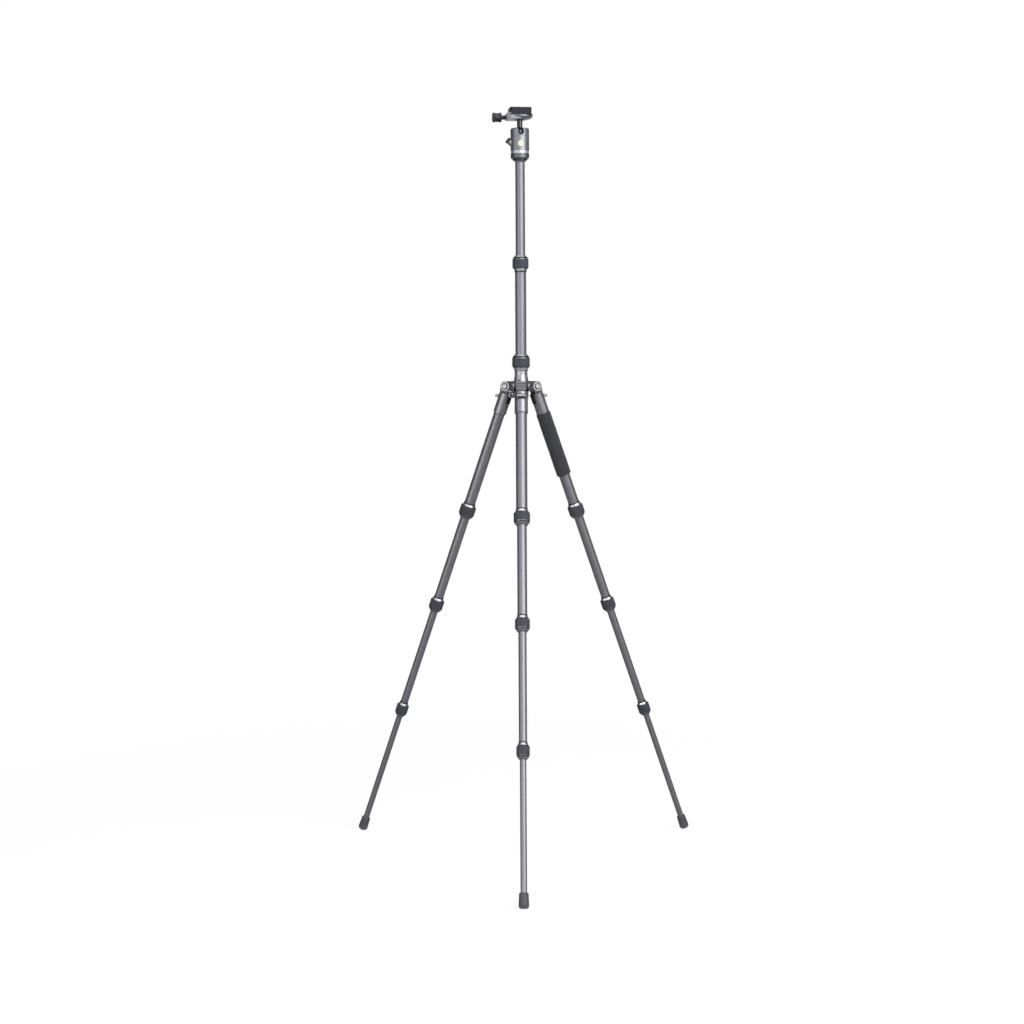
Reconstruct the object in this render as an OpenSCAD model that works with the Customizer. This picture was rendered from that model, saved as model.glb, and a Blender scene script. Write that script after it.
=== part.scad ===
// Travel tripod with reverse-folding legs, twist locks and a ball head, in millimetres.
// The ground is Z = 0, and the front leg points along -Y.

/* [Stance] */
// Lean of each leg away from upright, at its first angle stop
leg_spread = 21.3; // [19:0.1:25]
// Distance of each hinge bolt from the column's axis
hinge_r = 26.4; // [26:0.2:30]

/* [Leg tubes] */
// Outer diameter of the top leg tube
leg_tube_d = 20; // [19:0.25:21]
// Step in diameter from each leg tube to the next
tube_step = 3; // [3:0.1:3.4]
// Wall of every tube
tube_wall = 1.2; // [1:0.05:1.25]
// From the hinge bolt to the middle of the first twist lock, along the leg
lock_1_at = 242.6; // [222:0.2:262]
// From the first twist lock to the second
lock_2_step = 189.5; // [175:0.5:205]
// From the second twist lock to the third
lock_3_step = 218.4; // [200:0.2:240]
// From the third twist lock to the top of the foot
foot_step = 233.8; // [220:0.2:250]

/* [Twist locks] */
// Length of a twist lock with its two rings
lock_len = 30; // [29:0.2:32]
// How far a twist lock stands out from what carries it
lock_wall = 4.35; // [4:0.05:4.8]
// Length of the rubber barrel with its conical shoulder
barrel_len = 17; // [16:0.2:17.6]
// Length of the barrel's smooth conical shoulder
cone_len = 2.2; // [2:0.1:5]
// Number of ribs round each barrel
barrel_ribs = 30; // [20:1:36]
// Depth of the grooves between the ribs
rib_depth = 0.5; // [0.3:0.05:0.7]

/* [Feet] */
// Diameter of a rubber foot at its top
foot_top_d = 15.8; // [15:0.1:17]
// Diameter of a rubber foot near the ground
foot_d = 17.6; // [17:0.1:19]
// Length of a rubber foot
foot_len = 25.7; // [22:0.1:30]
// Rounding of a foot's lower edge
foot_round = 4.5; // [3:0.1:5.5]

/* [Leg castings] */
// Diameter of the barrel of a leg casting
casting_d = 23.6; // [23:0.1:25]
// From the hinge bolt to the lower end of the casting
casting_end = 52; // [48:0.5:58]
// Width of the knuckle between the ears
knuckle_w = 17.6; // [16:0.1:18.4]
// Radius of the knuckle round the bolt
knuckle_r = 8.3; // [7.6:0.1:8.6]
// Reach of the knuckle's outer face from the bolt
knuckle_face = 10; // [9.4:0.1:10.6]
// Height of the knuckle's outer corner over the bolt
knuckle_corner = 5.4; // [4.6:0.1:6]
// Number of grip grooves across the knuckle's outer face
knuckle_grooves = 3; // [1:1:4]
// Width of the angle lock tab
tab_w = 14.6; // [12:0.2:16]
// Thickness of the angle lock tab
tab_t = 6; // [5:0.1:6.6]
// How far the tab stands out of the casting
tab_out = 4.5; // [4:0.1:4.8]
// From the hinge bolt down to the middle of the tab
tab_at = 23; // [21:0.1:25]

/* [Foam grip] */
// Diameter of the foam grip on the right leg
foam_d = 26.5; // [24.5:0.1:26.9]
// From the hinge bolt to the lower end of the foam
foam_end = 172.6; // [120:0.2:200]

/* [Spider] */
// Thickness of each hinge ear
ear_t = 4.2; // [3.4:0.1:5]
// Radius of an ear's round end
ear_r = 9; // [8.6:0.1:9.2]
// Diameter of the hub between the ears
hub_d = 26.4; // [26:0.1:27.4]
// How far the hub reaches under the bolts
hub_low = 22; // [18:0.5:26]
// Diameter of the neck under the column's lower lock
neck_d = 23; // [22.8:0.05:24]
// Diameter of a hinge bolt
bolt_d = 6; // [5:0.1:7]
// Diameter of a hinge bolt's head
bolt_head_d = 10; // [9:0.1:12]
// Height of a hinge bolt's head
bolt_head_h = 1.4; // [1.2:0.1:2]
// Outer radius of the strap eyelet
eyelet_r = 6.4; // [5.6:0.1:7]
// Radius of the hole in the strap eyelet
eyelet_hole_r = 2.7; // [2.2:0.1:2.8]

/* [Column] */
// Outer diameter of the lower column tube
column_d = 20; // [19.8:0.1:20.4]
// Height of the lower column lock over the hinge bolts
lock_b_up = 41.9; // [41.5:0.1:44]
// Height of the upper column lock over the hinge bolts
lock_a_up = 217.2; // [210:0.2:220]
// Height of the head's underside over the hinge bolts
head_up = 401.1; // [380:0.1:420]
// How far the lower column tube reaches under the bolts
column_low = 31; // [29:0.5:36]
// Height of the cone of the column's top plate
cone_h = 3.4; // [3:0.1:4.5]
// Diameter of the dark disc on the column's top plate
top_disc_d = 26; // [24:0.5:29]

/* [Bag hook] */
// Outer radius of the hook's eye
hook_r = 9; // [8.4:0.1:9.6]
// Radius of the hole in the hook's eye
hook_hole_r = 5.2; // [5:0.1:5.6]
// Thickness of the hook's eye
hook_t = 3.4; // [3:0.1:4.5]

/* [Ball head] */
// Turn of the head about the column, as it stands
head_yaw = 7.5; // [0:0.5:12]
// Thickness of the housing's wall round the ball's seat
housing_wall = 4.9; // [4.8:0.05:5.3]
// Height of the housing's top over the head's underside
housing_top = 54; // [53.8:0.1:54.6]
// Height of the pan base's dark ring
base_h = 9.2; // [8:0.1:10]
// Height of the bright panning ring over the base
pan_ring_h = 5; // [4:0.1:6]
// Radius of the ball
ball_r = 10; // [9.8:0.05:10.2]
// Height of the ball's centre over the head's underside
ball_at = 46.6; // [46.2:0.1:47]
// Diameter of the ball's stem
stem_d = 9.9; // [9:0.1:10]
// Diameter of the slanted ball lock knob
lock_knob_d = 11; // [10:0.1:12]
// Lean of the ball lock knob above level
lock_knob_lean = 40; // [34:1:44]
// Diameter of the round disc on the front of the housing
vial_d = 11.2; // [10:0.1:12]
// Height of that disc's centre over the head's underside
vial_at = 26.4; // [24:0.1:30]

/* [Clamp] */
// Height of the clamp's underside over the head's underside
clamp_at = 67.2; // [67:0.1:69]
// Thickness of the clamp
clamp_h = 12.4; // [12.2:0.1:13.4]
// Diameter of the clamp's round end
clamp_d = 46; // [44:0.5:48]
// Length of the jaw along the plate
jaw_len = 40; // [36:0.5:42]
// Reach of the jaw's outer face from the stem
jaw_reach = 25.7; // [25.2:0.1:27]
// Reach of the clamp knob's outer end from the stem
clamp_knob_reach = 48.7; // [44:0.1:52]
// Length of the clamp knob
clamp_knob_len = 16; // [13:0.1:18]
// Diameter of the clamp knob
clamp_knob_d = 16.8; // [15:0.1:17.4]

/* [Camera plate] */
// Width of the plate across the clamp
plate_w = 38; // [37:0.1:39]
// Length of the plate along the clamp
plate_len = 40; // [38:0.5:50]
// Height of the plate over the clamp
plate_up = 9.3; // [8:0.1:11]
// Radius of the camera screw's thread, a quarter inch over all
screw_r = 3.175; // [3.175]
// How far the camera screw stands above the plate
screw_up = 3.4; // [3:0.1:4.5]

/* [Hidden] */
$fn = 48;

// Clearances and overruns
running_gap = 0.06;
bond_gap = 0.03;
loose_gap = 0.3;
over = 1;

// Legs: the front one, the right rear one and the left rear one
leg_sides = ["front", "right", "left"];
leg_azimuths = [-90, 30, 150];
leg_tube_rs = [for (k = [0:3]) (leg_tube_d - k * tube_step) / 2];
lock_ats = [lock_1_at, lock_1_at + lock_2_step, lock_1_at + lock_2_step + lock_3_step];
foot_top_at = lock_ats[2] + foot_step;
foot_end_at = foot_top_at + foot_len;

// Twist locks, as lengths from the lock's middle towards the sliding tube
lock_half = lock_len / 2;
ring_len = 6;
ring_dark_len = 2.7;
ring_dark_wall = 0.9;
ring_wall = 2.2;
cone_wall = 2.5;
thread_wall = 1.6;
thread_end_share = 0.3;
thread_end = lock_half * thread_end_share;
ring_lip = 0.4;
end_steps = [0.4, 0.9, 2];
end_lens = [0, 1.6, 3.6];
bush_gap = 0.8;
carrier_end = thread_end - bush_gap;
bush_start = thread_end + bush_gap;
lip_len = 3.2;
bush_end = lock_half - lip_len;
bush_wall = 1.5;
bush_flare = 0.8;
bush_room = 0.2;
bush_slit = 1.4;
lip_wall = 1.1;

// Guide swells on the sliding tubes
guide_len = 26;
guide_gap = 0.08;
guide_overlap = 44;
column_overlap = 45;

// Leg castings
casting_r = casting_d / 2;
casting_rim = 1;
shoulder_gap = 0.6;
shoulder_at = ear_r + shoulder_gap;
shoulder_len = 3.4;
shoulder_end = shoulder_at + shoulder_len;
shoulder_sink = 0.4;
shoulder_flat = sqrt(pow(casting_r - shoulder_sink, 2) - pow(knuckle_w / 2, 2));
knuckle_swing = norm([knuckle_face, knuckle_corner]);
knuckle_sink = 0.2;
ramp_r = knuckle_r - knuckle_sink;
knuckle_turn = atan2(knuckle_corner, knuckle_face) + acos(ramp_r / knuckle_swing);
tube_stop_gap = 4;
tube_start = tab_at + tab_t / 2 + tube_stop_gap;
tab_stem_w = 8;
tab_stem_t = 3.2;
tab_foot_w = 9.2;
tab_foot_t = 1.6;
tab_foot_h = 5.6;
tab_travel = 3;
tab_chamfer = 0.8;
casting_wall = 3.4;
casting_cavity_r = casting_r - casting_wall;
groove_pitch = 3.6;
groove_inset = 0.3;
groove_w = 0.9;
groove_depth = 0.6;

// Feet: a small flat is cut where the rounded edge meets the ground
foot_flat = 0.4;
foot_socket = 18;
foot_r = foot_d / 2;
edge_at = foot_end_at - foot_round;
hinge_z = edge_at * cos(leg_spread) + (foot_r - foot_round) * sin(leg_spread) + foot_round - foot_flat;

// The column stands off the middle of the footprint, because one leg points forward
edge_out = hinge_r + edge_at * sin(leg_spread);
function foot_reach(share) =
    share * edge_out + (foot_r - foot_round) * sqrt(1 - pow(share * sin(leg_spread), 2)) + foot_round;
column_y = (foot_reach(1) - foot_reach(sin(30))) / 2;

// Spider
neck_r = neck_d / 2;
hub_r = hub_d / 2;
column_r = column_d / 2;
upper_column_r = column_r - tube_step / 2;
ear_gap = 0.1;
ear_face = knuckle_w / 2 + ear_gap;
ear_root_share = 0.6;
ear_root = hub_r * ear_root_share;
throat_gap = 1;
throat_r = hinge_r - knuckle_swing - throat_gap;
throat_step = 1.2;
throat_h = ear_r - throat_step;
neck_flare = 11;
bolt_socket_d = 4.6;
bolt_socket_h = 0.9;
eyelet_azimuth = 210;
eyelet_out_share = 0.9;
eyelet_stem_share = 0.7;
eyelet_at = hub_r + eyelet_out_share * eyelet_r;
eyelet_low = 14.8;
eyelet_t = 3.2;

// Column
head_z = hinge_z + head_up;
top_disc_h = 2.2;
stud_r = 4.76;
stud_h = 8;
plug_len = 18;
plug_flange_h = 2.4;
hook_neck = 1.4;
hook_drop = hook_r + hook_neck;

// Ball head, as heights over its underside
seat_wall = 1.3;
seat_share = 0.62;
seat_room = 0.4;
cavity_r = ball_r + seat_wall + seat_room;
cavity_roof = 1;
housing_r = cavity_r + housing_wall;
base_step = 0.1;
base_r = housing_r - base_step;
base_chamfer = 2.1;
pan_groove = 0.3;
pan_ring_step = 0.5;
pan_ring_r = housing_r - pan_ring_step;
pan_ring_top = base_h + pan_groove + pan_ring_h;
pan_gap = 0.1;
housing_at = pan_ring_top + pan_gap;
housing_round = 2.7;
split_drop = 7.7;
split_at = ball_at - split_drop;
split_w = 0.5;
split_depth = 0.4;
spindle_r = 6;
spindle_h = 6.4;
lip_at = 3.4;
mouth_wall = 4;
mouth_r = housing_r - mouth_wall;
notch_r = stem_d / 2 + loose_gap;
spigot_r = 3.5;
spigot_h = 5;

// Ball lock knob: its outer end's centre, reach and height over the head's underside
knob_tip_x = -23;
knob_tip_z = 34.2;
lock_knob_len = 5;
lock_shaft_r = 2.5;
lock_shaft_len = 12;
lock_boss_gap = 0.4;
knob_ribs = 18;
knob_chamfer = 1;

// Round disc
vial_r = vial_d / 2;
vial_depth = 2.4;
vial_proud = 0.5;

// Clamp
clamp_r = clamp_d / 2;
clamp_top = clamp_at + clamp_h;
dish_wall_h = 6.2;
dish_shares = [0.29, 0.6, 0.81, 0.935];
dish_hs = [0, 1.8, 3, 5.2];
foot_sink = 4;
flank_low = 1;
flank_run = 2.4;
jaw_gap = 0.1;
guide_pin_inset = 6;
jaw_inner = plate_w / 2 + jaw_gap + loose_gap;
body_face = jaw_inner - loose_gap;
channel_half = plate_w / 2 + jaw_gap;
guide_pin_r = 1.5;
guide_pin_len = 10;
guide_pin_y = jaw_len / 2 - guide_pin_inset;
clamp_screw_r = 2.3;
clamp_screw_in = 9;
clamp_screw_up = 5.3;
clamp_screw_z = clamp_at + clamp_screw_up;
knob_boss_r = 3.8;
clamp_waist = 0.7;
waist_at = 5;
clamp_knob_ribs = 24;
block_half = jaw_len / 2;
block_floor = 1.8;
jaw_bevel = 3;
jaw_bevel_h = 3.6;
jaw_top_bevel = 2.4;
jaw_top_bevel_h = 1.8;

// Camera plate
plate_round = 4;
plate_rim = 0.4;
plate_foot_z = clamp_top - foot_sink;
plate_top = clamp_top + plate_up;
screw_hole_gap = 0.2;
screw_hole_r = screw_r + screw_hole_gap;
screw_head_r = 6.6;
screw_head_h = 2.2;
screw_recess_r = screw_head_r + 2 * loose_gap;
shank_r = 2.5;
screw_tip = 0.5;
screw_slot_w = 1.2;
screw_slot_h = 1;
pad_recess = 0.8;
pad_w = 9;
pad_edge = 2.6;

// Colours
carbon = [0.42, 0.42, 0.44];
casting_grey = [0.5, 0.5, 0.53];
bright_metal = [0.78, 0.79, 0.82];
rubber_dark = [0.25, 0.27, 0.31];
black_metal = [0.1, 0.1, 0.11];
foam_dark = [0.2, 0.2, 0.22];
disc_pale = [0.93, 0.96, 0.8];

// Shared shapes

// A hollow cylinder from one height to another
module pipe(r_out, r_in, low, high) {
    rotate_extrude() translate([r_in, low]) square([r_out - r_in, high - low]);
}

// A solid of revolution from points given as [radius, height]
module turned(points) {
    rotate_extrude() polygon(points);
}

// A round bar along X, centred on Z
module bar_x(r, from, to) {
    translate([from, 0, 0]) rotate([0, 90, 0]) cylinder(r = r, h = to - from);
}

// A round bar along Y, centred on its middle
module bar_y(r, len) {
    rotate([90, 0, 0]) cylinder(r = r, h = len, center = true);
}

// A ribbed outline: ridge and groove in turn
function ribbed(r, depth, count) = [
    for (i = [0:count - 1], half = [0, 1])
        let (a = (i + half / 2) * 360 / count)
            for (edge = [-1, 1])
                let (b = a + edge * 360 / count / 6) (r - half * depth) * [cos(b), sin(b)]
];

// Places a leg's own frame: its axis is Z, the foot is at -Z, and +X faces away from the column
module on_leg(i) {
    translate([0, column_y, hinge_z])
        rotate([0, 0, leg_azimuths[i]])
            translate([hinge_r, 0, 0])
                rotate([0, -leg_spread, 0]) children();
}

// Places the column's frame at the height of the hinge bolts
module on_column() {
    translate([0, column_y, hinge_z]) children();
}

// Places the head's frame at its underside, turned as it stands
module on_head() {
    translate([0, column_y, head_z]) rotate([0, 0, head_yaw]) children();
}

// Twist locks. Each is drawn about its middle, with +Z towards the sliding tube.

// The ferrule that is bonded on the end of the tube that carries the lock
module ferrule(carrier_r) {
    color(bright_metal)
        difference() {
            ferrule_body(carrier_r);
            translate([0, 0, -lock_half - over])
                cylinder(r = carrier_r + bond_gap, h = lock_len);
        }
}

// The ferrule's outside: a tapered ring and a thread under the collar
module ferrule_body(carrier_r) {
    ring_end = -lock_half + ring_len;
    turned([
        [0, -lock_half], [carrier_r + ring_lip, -lock_half],
        [carrier_r + ring_dark_wall, -lock_half + ring_dark_len],
        [carrier_r + ring_wall, ring_end - ring_lip], [carrier_r + ring_wall, ring_end],
        [carrier_r + thread_wall, ring_end], [carrier_r + thread_wall, thread_end], [0, thread_end]
    ]);
}

// The turning collar with its ribbed barrel, and the split bush that it squeezes on the inner tube
module collar(carrier_r, slider_r) {
    r = carrier_r + lock_wall;
    barrel_low = -lock_half + ring_len + 2 * bond_gap;
    ribs_low = barrel_low + cone_len;
    barrel_high = barrel_low + barrel_len;
    thread_bore = carrier_r + thread_wall + running_gap;
    cone_high = bush_end + bond_gap;
    color(rubber_dark)
        difference() {
            union() {
                translate([0, 0, ribs_low])
                    linear_extrude(barrel_high - ribs_low)
                        polygon(ribbed(r, rib_depth, barrel_ribs));
                turned([
                    [0, barrel_low], [carrier_r + cone_wall, barrel_low],
                    [r - rib_depth / 2, ribs_low], [r - 2 * rib_depth, ribs_low + over],
                    [r - 2 * rib_depth, barrel_high - over],
                    for (i = [0:2]) [r - end_steps[i], barrel_high + end_lens[i]],
                    [slider_r + lip_wall, lock_half], [0, lock_half]
                ]);
            }
            turned([
                [0, barrel_low - over], [thread_bore, barrel_low - over],
                [thread_bore, thread_end + loose_gap],
                [slider_r + bush_wall + bush_flare + bush_room, bush_start],
                [slider_r + bush_wall, cone_high], [slider_r + running_gap, cone_high],
                [slider_r + running_gap, lock_half + over], [0, lock_half + over]
            ]);
        }
    color("dimgray")
        difference() {
            turned([
                [slider_r + running_gap, bush_start], [slider_r + bush_wall + bush_flare, bush_start],
                [slider_r + bush_wall - running_gap, bush_end], [slider_r + running_gap, bush_end]
            ]);
            translate([0, -bush_slit / 2, bush_start - over])
                cube([slider_r + bush_wall + over, bush_slit, bush_end - bush_start + 2 * over]);
        }
}

// Leg pieces, each drawn in the leg's own frame

// The part of the casting's outline that turns between the ears, in the leg's upright plane
module knuckle_outline() {
    circle(r = knuckle_r);
    polygon([
        [0, 0], ramp_r * [cos(knuckle_turn), sin(knuckle_turn)],
        [knuckle_face, knuckle_corner], [knuckle_face, -shoulder_at],
        [shoulder_flat, -shoulder_end], [-casting_r / 2, -shoulder_end], [-knuckle_r, 0]
    ]);
}

module leg_casting() {
    color(casting_grey)
        difference() {
            union() {
                turned([
                    [0, -shoulder_at], [knuckle_w / 2 - casting_rim, -shoulder_at],
                    [casting_r, -shoulder_end],
                    [casting_r, -casting_end + casting_rim],
                    [casting_r - casting_rim, -casting_end], [0, -casting_end]
                ]);
                rotate([90, 0, 0]) linear_extrude(knuckle_w, center = true) knuckle_outline();
            }
            bar_y(bolt_d / 2 + running_gap, knuckle_w + 2 * over);
            translate([0, 0, -casting_end - over])
                cylinder(r = leg_tube_rs[0] + bond_gap, h = casting_end + over - tube_start);
            translate([0, 0, -tube_start - over])
                cylinder(r = casting_cavity_r, h = tube_start + over - shoulder_end);
            translate([0, -tab_stem_w / 2 - loose_gap, -tab_at - tab_stem_t / 2 - loose_gap])
                cube([casting_d, tab_stem_w + 2 * loose_gap, tab_stem_t + 2 * loose_gap]);
            for (i = [1:knuckle_grooves])
                translate([knuckle_face, 0, knuckle_corner - groove_inset - i * groove_pitch])
                    cube([2 * groove_depth, 2 * knuckle_w, groove_w], center = true);
        }
}

// The pull tab: a rounded lip outside, a stem through the wall and a foot inside
module angle_tab() {
    nose_x = casting_r + tab_out - tab_t / 2;
    foot_x = sqrt(pow(casting_cavity_r, 2) - pow(tab_foot_w / 2, 2));
    inner_x = foot_x - tab_travel - tab_foot_t - loose_gap;
    color(bright_metal)
        translate([0, 0, -tab_at]) {
            difference() {
                union() {
                    translate([nose_x, 0, 0]) bar_y(tab_t / 2, tab_w);
                    translate([casting_r / 2, -tab_w / 2, tab_chamfer - tab_t / 2])
                        cube([nose_x - casting_r / 2, tab_w, tab_t - 2 * tab_chamfer]);
                }
                cylinder(r = casting_r + loose_gap, h = 2 * tab_t, center = true);
            }
            translate([inner_x, -tab_stem_w / 2, -tab_stem_t / 2])
                cube([nose_x - inner_x, tab_stem_w, tab_stem_t]);
            translate([inner_x, -tab_foot_w / 2, -tab_foot_h / 2])
                cube([tab_foot_t, tab_foot_w, tab_foot_h]);
        }
}

// Tube k of a leg, counted from 0 at the top; the sliding ones have a guide swell at the top
module leg_tube(k) {
    r = leg_tube_rs[k];
    bottom = k < 3 ? -lock_ats[k] - carrier_end : -foot_top_at - foot_socket;
    top = k == 0 ? -tube_start : -lock_ats[k - 1] + guide_overlap;
    color(carbon) {
        difference() {
            union() {
                cylinder_span(r, bottom, top);
                if (k > 0)
                    cylinder_span(leg_tube_rs[k - 1] - tube_wall - guide_gap, top - guide_len, top);
            }
            cylinder_span(r - tube_wall, bottom - over, top + over);
        }
    }
}

// A cylinder on Z from one height to another
module cylinder_span(r, low, high) {
    translate([0, 0, low]) cylinder(r = r, h = high - low);
}

// Ferrule and collar k of a leg hang head down, so that the sliding tube is below
module leg_ferrule(k) {
    translate([0, 0, -lock_ats[k]]) rotate([180, 0, 0]) ferrule(leg_tube_rs[k]);
}

module leg_lock(k) {
    translate([0, 0, -lock_ats[k]]) rotate([180, 0, 0]) collar(leg_tube_rs[k], leg_tube_rs[k + 1]);
}

// The rubber foot, with a small flat where it rests
module leg_foot(i) {
    color(rubber_dark)
        difference() {
            on_leg(i)
                difference() {
                    foot_body();
                    cylinder_span(leg_tube_rs[3] + bond_gap, -foot_top_at - foot_socket - bond_gap,
                        -foot_top_at + over);
                }
            translate([-foot_end_at, -foot_end_at, -foot_end_at])
                cube([2 * foot_end_at, 2 * foot_end_at, foot_end_at]);
        }
}

// The foot's outside: a cone, and a rounded lower edge
module foot_body() {
    turned([
        [0, -foot_top_at], [foot_top_d / 2 - casting_rim, -foot_top_at],
        [foot_top_d / 2, -foot_top_at - casting_rim], [foot_r, -edge_at], [0, -edge_at]
    ]);
    cylinder_span(foot_r - foot_round, -foot_end_at, -edge_at + over);
    translate([0, 0, -edge_at])
        rotate_extrude() translate([foot_r - foot_round, 0])
            intersection() {
                circle(r = foot_round);
                translate([0, -foot_round]) square([foot_round, foot_round]);
            }
}

module foam_grip() {
    color(foam_dark)
        on_leg(1)
            pipe(foam_d / 2, leg_tube_rs[0] + bond_gap, -foam_end, -casting_end - bond_gap);
}

// Spider: the hub, its neck with the lower lock's ring and thread, the ears and the eyelet
module spider() {
    color(casting_grey)
        on_column()
            difference() {
                union() {
                    turned([
                        [0, -hub_low], [hub_r - casting_rim, -hub_low],
                        [hub_r, -hub_low + casting_rim], [hub_r, ear_r],
                        [neck_r, ear_r + neck_flare], [neck_r, lock_b_up - lock_half + over],
                        [0, lock_b_up - lock_half + over]
                    ]);
                    translate([0, 0, lock_b_up]) ferrule_body(neck_r);
                    for (azimuth = leg_azimuths) rotate([0, 0, azimuth]) spider_arm();
                    rotate([0, 0, eyelet_azimuth]) translate([0, 0, -eyelet_low]) eyelet();
                }
                cylinder_span(column_r + running_gap, -hub_low - over, lock_b_up + lock_half);
                for (azimuth = leg_azimuths)
                    rotate([0, 0, azimuth]) translate([hinge_r, 0, 0])
                        bar_y(bolt_d / 2 + bond_gap, 2 * (ear_face + ear_t + over));
                rotate([0, 0, eyelet_azimuth]) translate([eyelet_at, 0, -eyelet_low])
                    bar_y(eyelet_hole_r, eyelet_t + 2 * over);
            }
}

// Two ears and the web behind the knuckle
module spider_arm() {
    for (side = [-1, 1])
        translate([0, side * (ear_face + ear_t / 2), 0])
            rotate([90, 0, 0])
                linear_extrude(ear_t, center = true) {
                    translate([hinge_r, 0]) circle(r = ear_r);
                    translate([ear_root, -ear_r]) square([hinge_r - ear_root, 2 * ear_r]);
                }
    translate([ear_root, -ear_face - ear_t / 2, -throat_h])
        cube([throat_r - ear_root, 2 * ear_face + ear_t, 2 * throat_h]);
}

module eyelet() {
    translate([eyelet_at, 0, 0]) bar_y(eyelet_r, eyelet_t);
    translate([hub_r - eyelet_t, -eyelet_t / 2, -eyelet_stem_share * eyelet_r])
        cube([eyelet_at - hub_r + eyelet_t, eyelet_t, 2 * eyelet_stem_share * eyelet_r]);
}

module hinge_bolts() {
    reach = ear_face + ear_t;
    color(bright_metal)
        on_column()
            for (azimuth = leg_azimuths)
                rotate([0, 0, azimuth]) translate([hinge_r, 0, 0])
                    difference() {
                        union() {
                            bar_y(bolt_d / 2, 2 * reach + bolt_head_h);
                            for (side = [-1, 1])
                                translate([0, side * (reach + bolt_head_h / 2), 0])
                                    bar_y(bolt_head_d / 2, bolt_head_h);
                        }
                        for (side = [-1, 1])
                            translate([0, side * (reach + bolt_head_h), 0]) bolt_socket();
                    }
}

// The hexagon socket in a bolt's head
module bolt_socket() {
    rotate([90, 0, 0])
        cylinder(d = bolt_socket_d, h = 2 * bolt_socket_h, center = true, $fn = 6);
}

// Column pieces

module lower_column() {
    color(carbon)
        on_column()
            pipe(column_r, column_r - tube_wall, -column_low, lock_a_up + carrier_end);
}

module lower_column_ferrule() {
    on_column() translate([0, 0, lock_a_up]) ferrule(column_r);
}

module column_lock_low() {
    on_column() translate([0, 0, lock_b_up]) collar(neck_r, column_r);
}

module column_lock_high() {
    on_column() translate([0, 0, lock_a_up]) collar(column_r, upper_column_r);
}

module upper_column() {
    bottom = lock_a_up - column_overlap;
    top = head_up - top_disc_h - cone_h - bond_gap;
    color(carbon)
        on_column()
            difference() {
                union() {
                    cylinder_span(upper_column_r, bottom, top);
                    cylinder_span(column_r - tube_wall - guide_gap, bottom, bottom + guide_len);
                }
                cylinder_span(upper_column_r - tube_wall, bottom - over, top + over);
            }
}

// The plate on the column: a plug in the tube, a cone, a dark disc and the head's stud
module column_top_plate() {
    plug_r = upper_column_r - tube_wall - bond_gap;
    color(black_metal)
        translate([0, column_y, head_z])
            turned([
                [0, -top_disc_h - cone_h - plug_len], [plug_r, -top_disc_h - cone_h - plug_len],
                [plug_r, -top_disc_h - cone_h], [upper_column_r + bond_gap, -top_disc_h - cone_h],
                [top_disc_d / 2 - casting_rim, -top_disc_h], [top_disc_d / 2, -top_disc_h],
                [top_disc_d / 2, 0], [stud_r, 0], [stud_r, stud_h - casting_rim],
                [stud_r - casting_rim, stud_h], [0, stud_h]
            ]);
}

// The plug in the lower end of the column, with an eye for a bag
module bag_hook() {
    plug_r = column_r - tube_wall - bond_gap;
    color(black_metal)
        on_column()
            translate([0, 0, -column_low])
                difference() {
                    union() {
                        cylinder_span(plug_r, -over, plug_len);
                        cylinder_span(column_r, -plug_flange_h, 0);
                        translate([0, 0, -plug_flange_h - hook_drop]) bar_y(hook_r, hook_t);
                        translate([-hook_r / 2, -hook_t / 2, -plug_flange_h - hook_drop / 2])
                            cube([hook_r, hook_t, hook_drop / 2 + plug_flange_h / 2]);
                    }
                    translate([0, 0, -plug_flange_h - hook_drop]) bar_y(hook_hole_r, hook_t + 2 * over);
                }
}

// Ball head pieces, each drawn in the head's frame

module pan_base() {
    color(casting_grey)
        on_head()
            difference() {
                turned([
                    [0, 0], [base_r - base_chamfer, 0], [base_r, base_chamfer], [base_r, base_h],
                    [pan_ring_r - pan_groove, base_h], [pan_ring_r - pan_groove, base_h + pan_groove],
                    [pan_ring_r, base_h + pan_groove], [pan_ring_r, pan_ring_top],
                    [spindle_r, pan_ring_top], [spindle_r, pan_ring_top + spindle_h],
                    [0, pan_ring_top + spindle_h]
                ]);
                cylinder_span(stud_r + bond_gap, -over, stud_h + bond_gap);
            }
}

// The housing: a rounded barrel round the ball, with a flared mouth and the drop notch at the front
module head_housing() {
    lip_r = sqrt(pow(ball_r + running_gap, 2) - pow(lip_at, 2));
    boss_r = lock_knob_d / 2 - lock_boss_gap;
    pocket_r = lock_knob_d / 2 + lock_boss_gap;
    bore_top = pan_ring_top + spindle_h + loose_gap;
    color(casting_grey)
        on_head()
            difference() {
                union() {
                    rotate_extrude() housing_outline();
                    lock_knob_frame() bar_x(boss_r, -lock_shaft_len, -lock_boss_gap);
                }
                lock_knob_frame() bar_x(pocket_r, -lock_boss_gap, lock_knob_len + over);
                cylinder_span(spindle_r + running_gap, housing_at - over, bore_top);
                cylinder_span(cavity_r, ball_at - cavity_r, ball_at + cavity_roof);
                translate([0, 0, ball_at]) sphere(r = ball_r + running_gap);
                turned([
                    [0, ball_at + lip_at], [lip_r, ball_at + lip_at], [mouth_r, housing_top],
                    [mouth_r, housing_top + over], [0, housing_top + over]
                ]);
                translate([0, 0, ball_at]) drop_notch();
                lock_knob_frame()
                    bar_x(lock_shaft_r + running_gap, -lock_shaft_len - loose_gap, lock_knob_len);
                translate([0, 0, vial_at])
                    vial_place(-vial_depth) cylinder(r = vial_r + bond_gap, h = housing_r);
                translate([0, 0, split_at]) pipe(housing_r + over, housing_r - split_depth, 0, split_w);
            }
}

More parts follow.
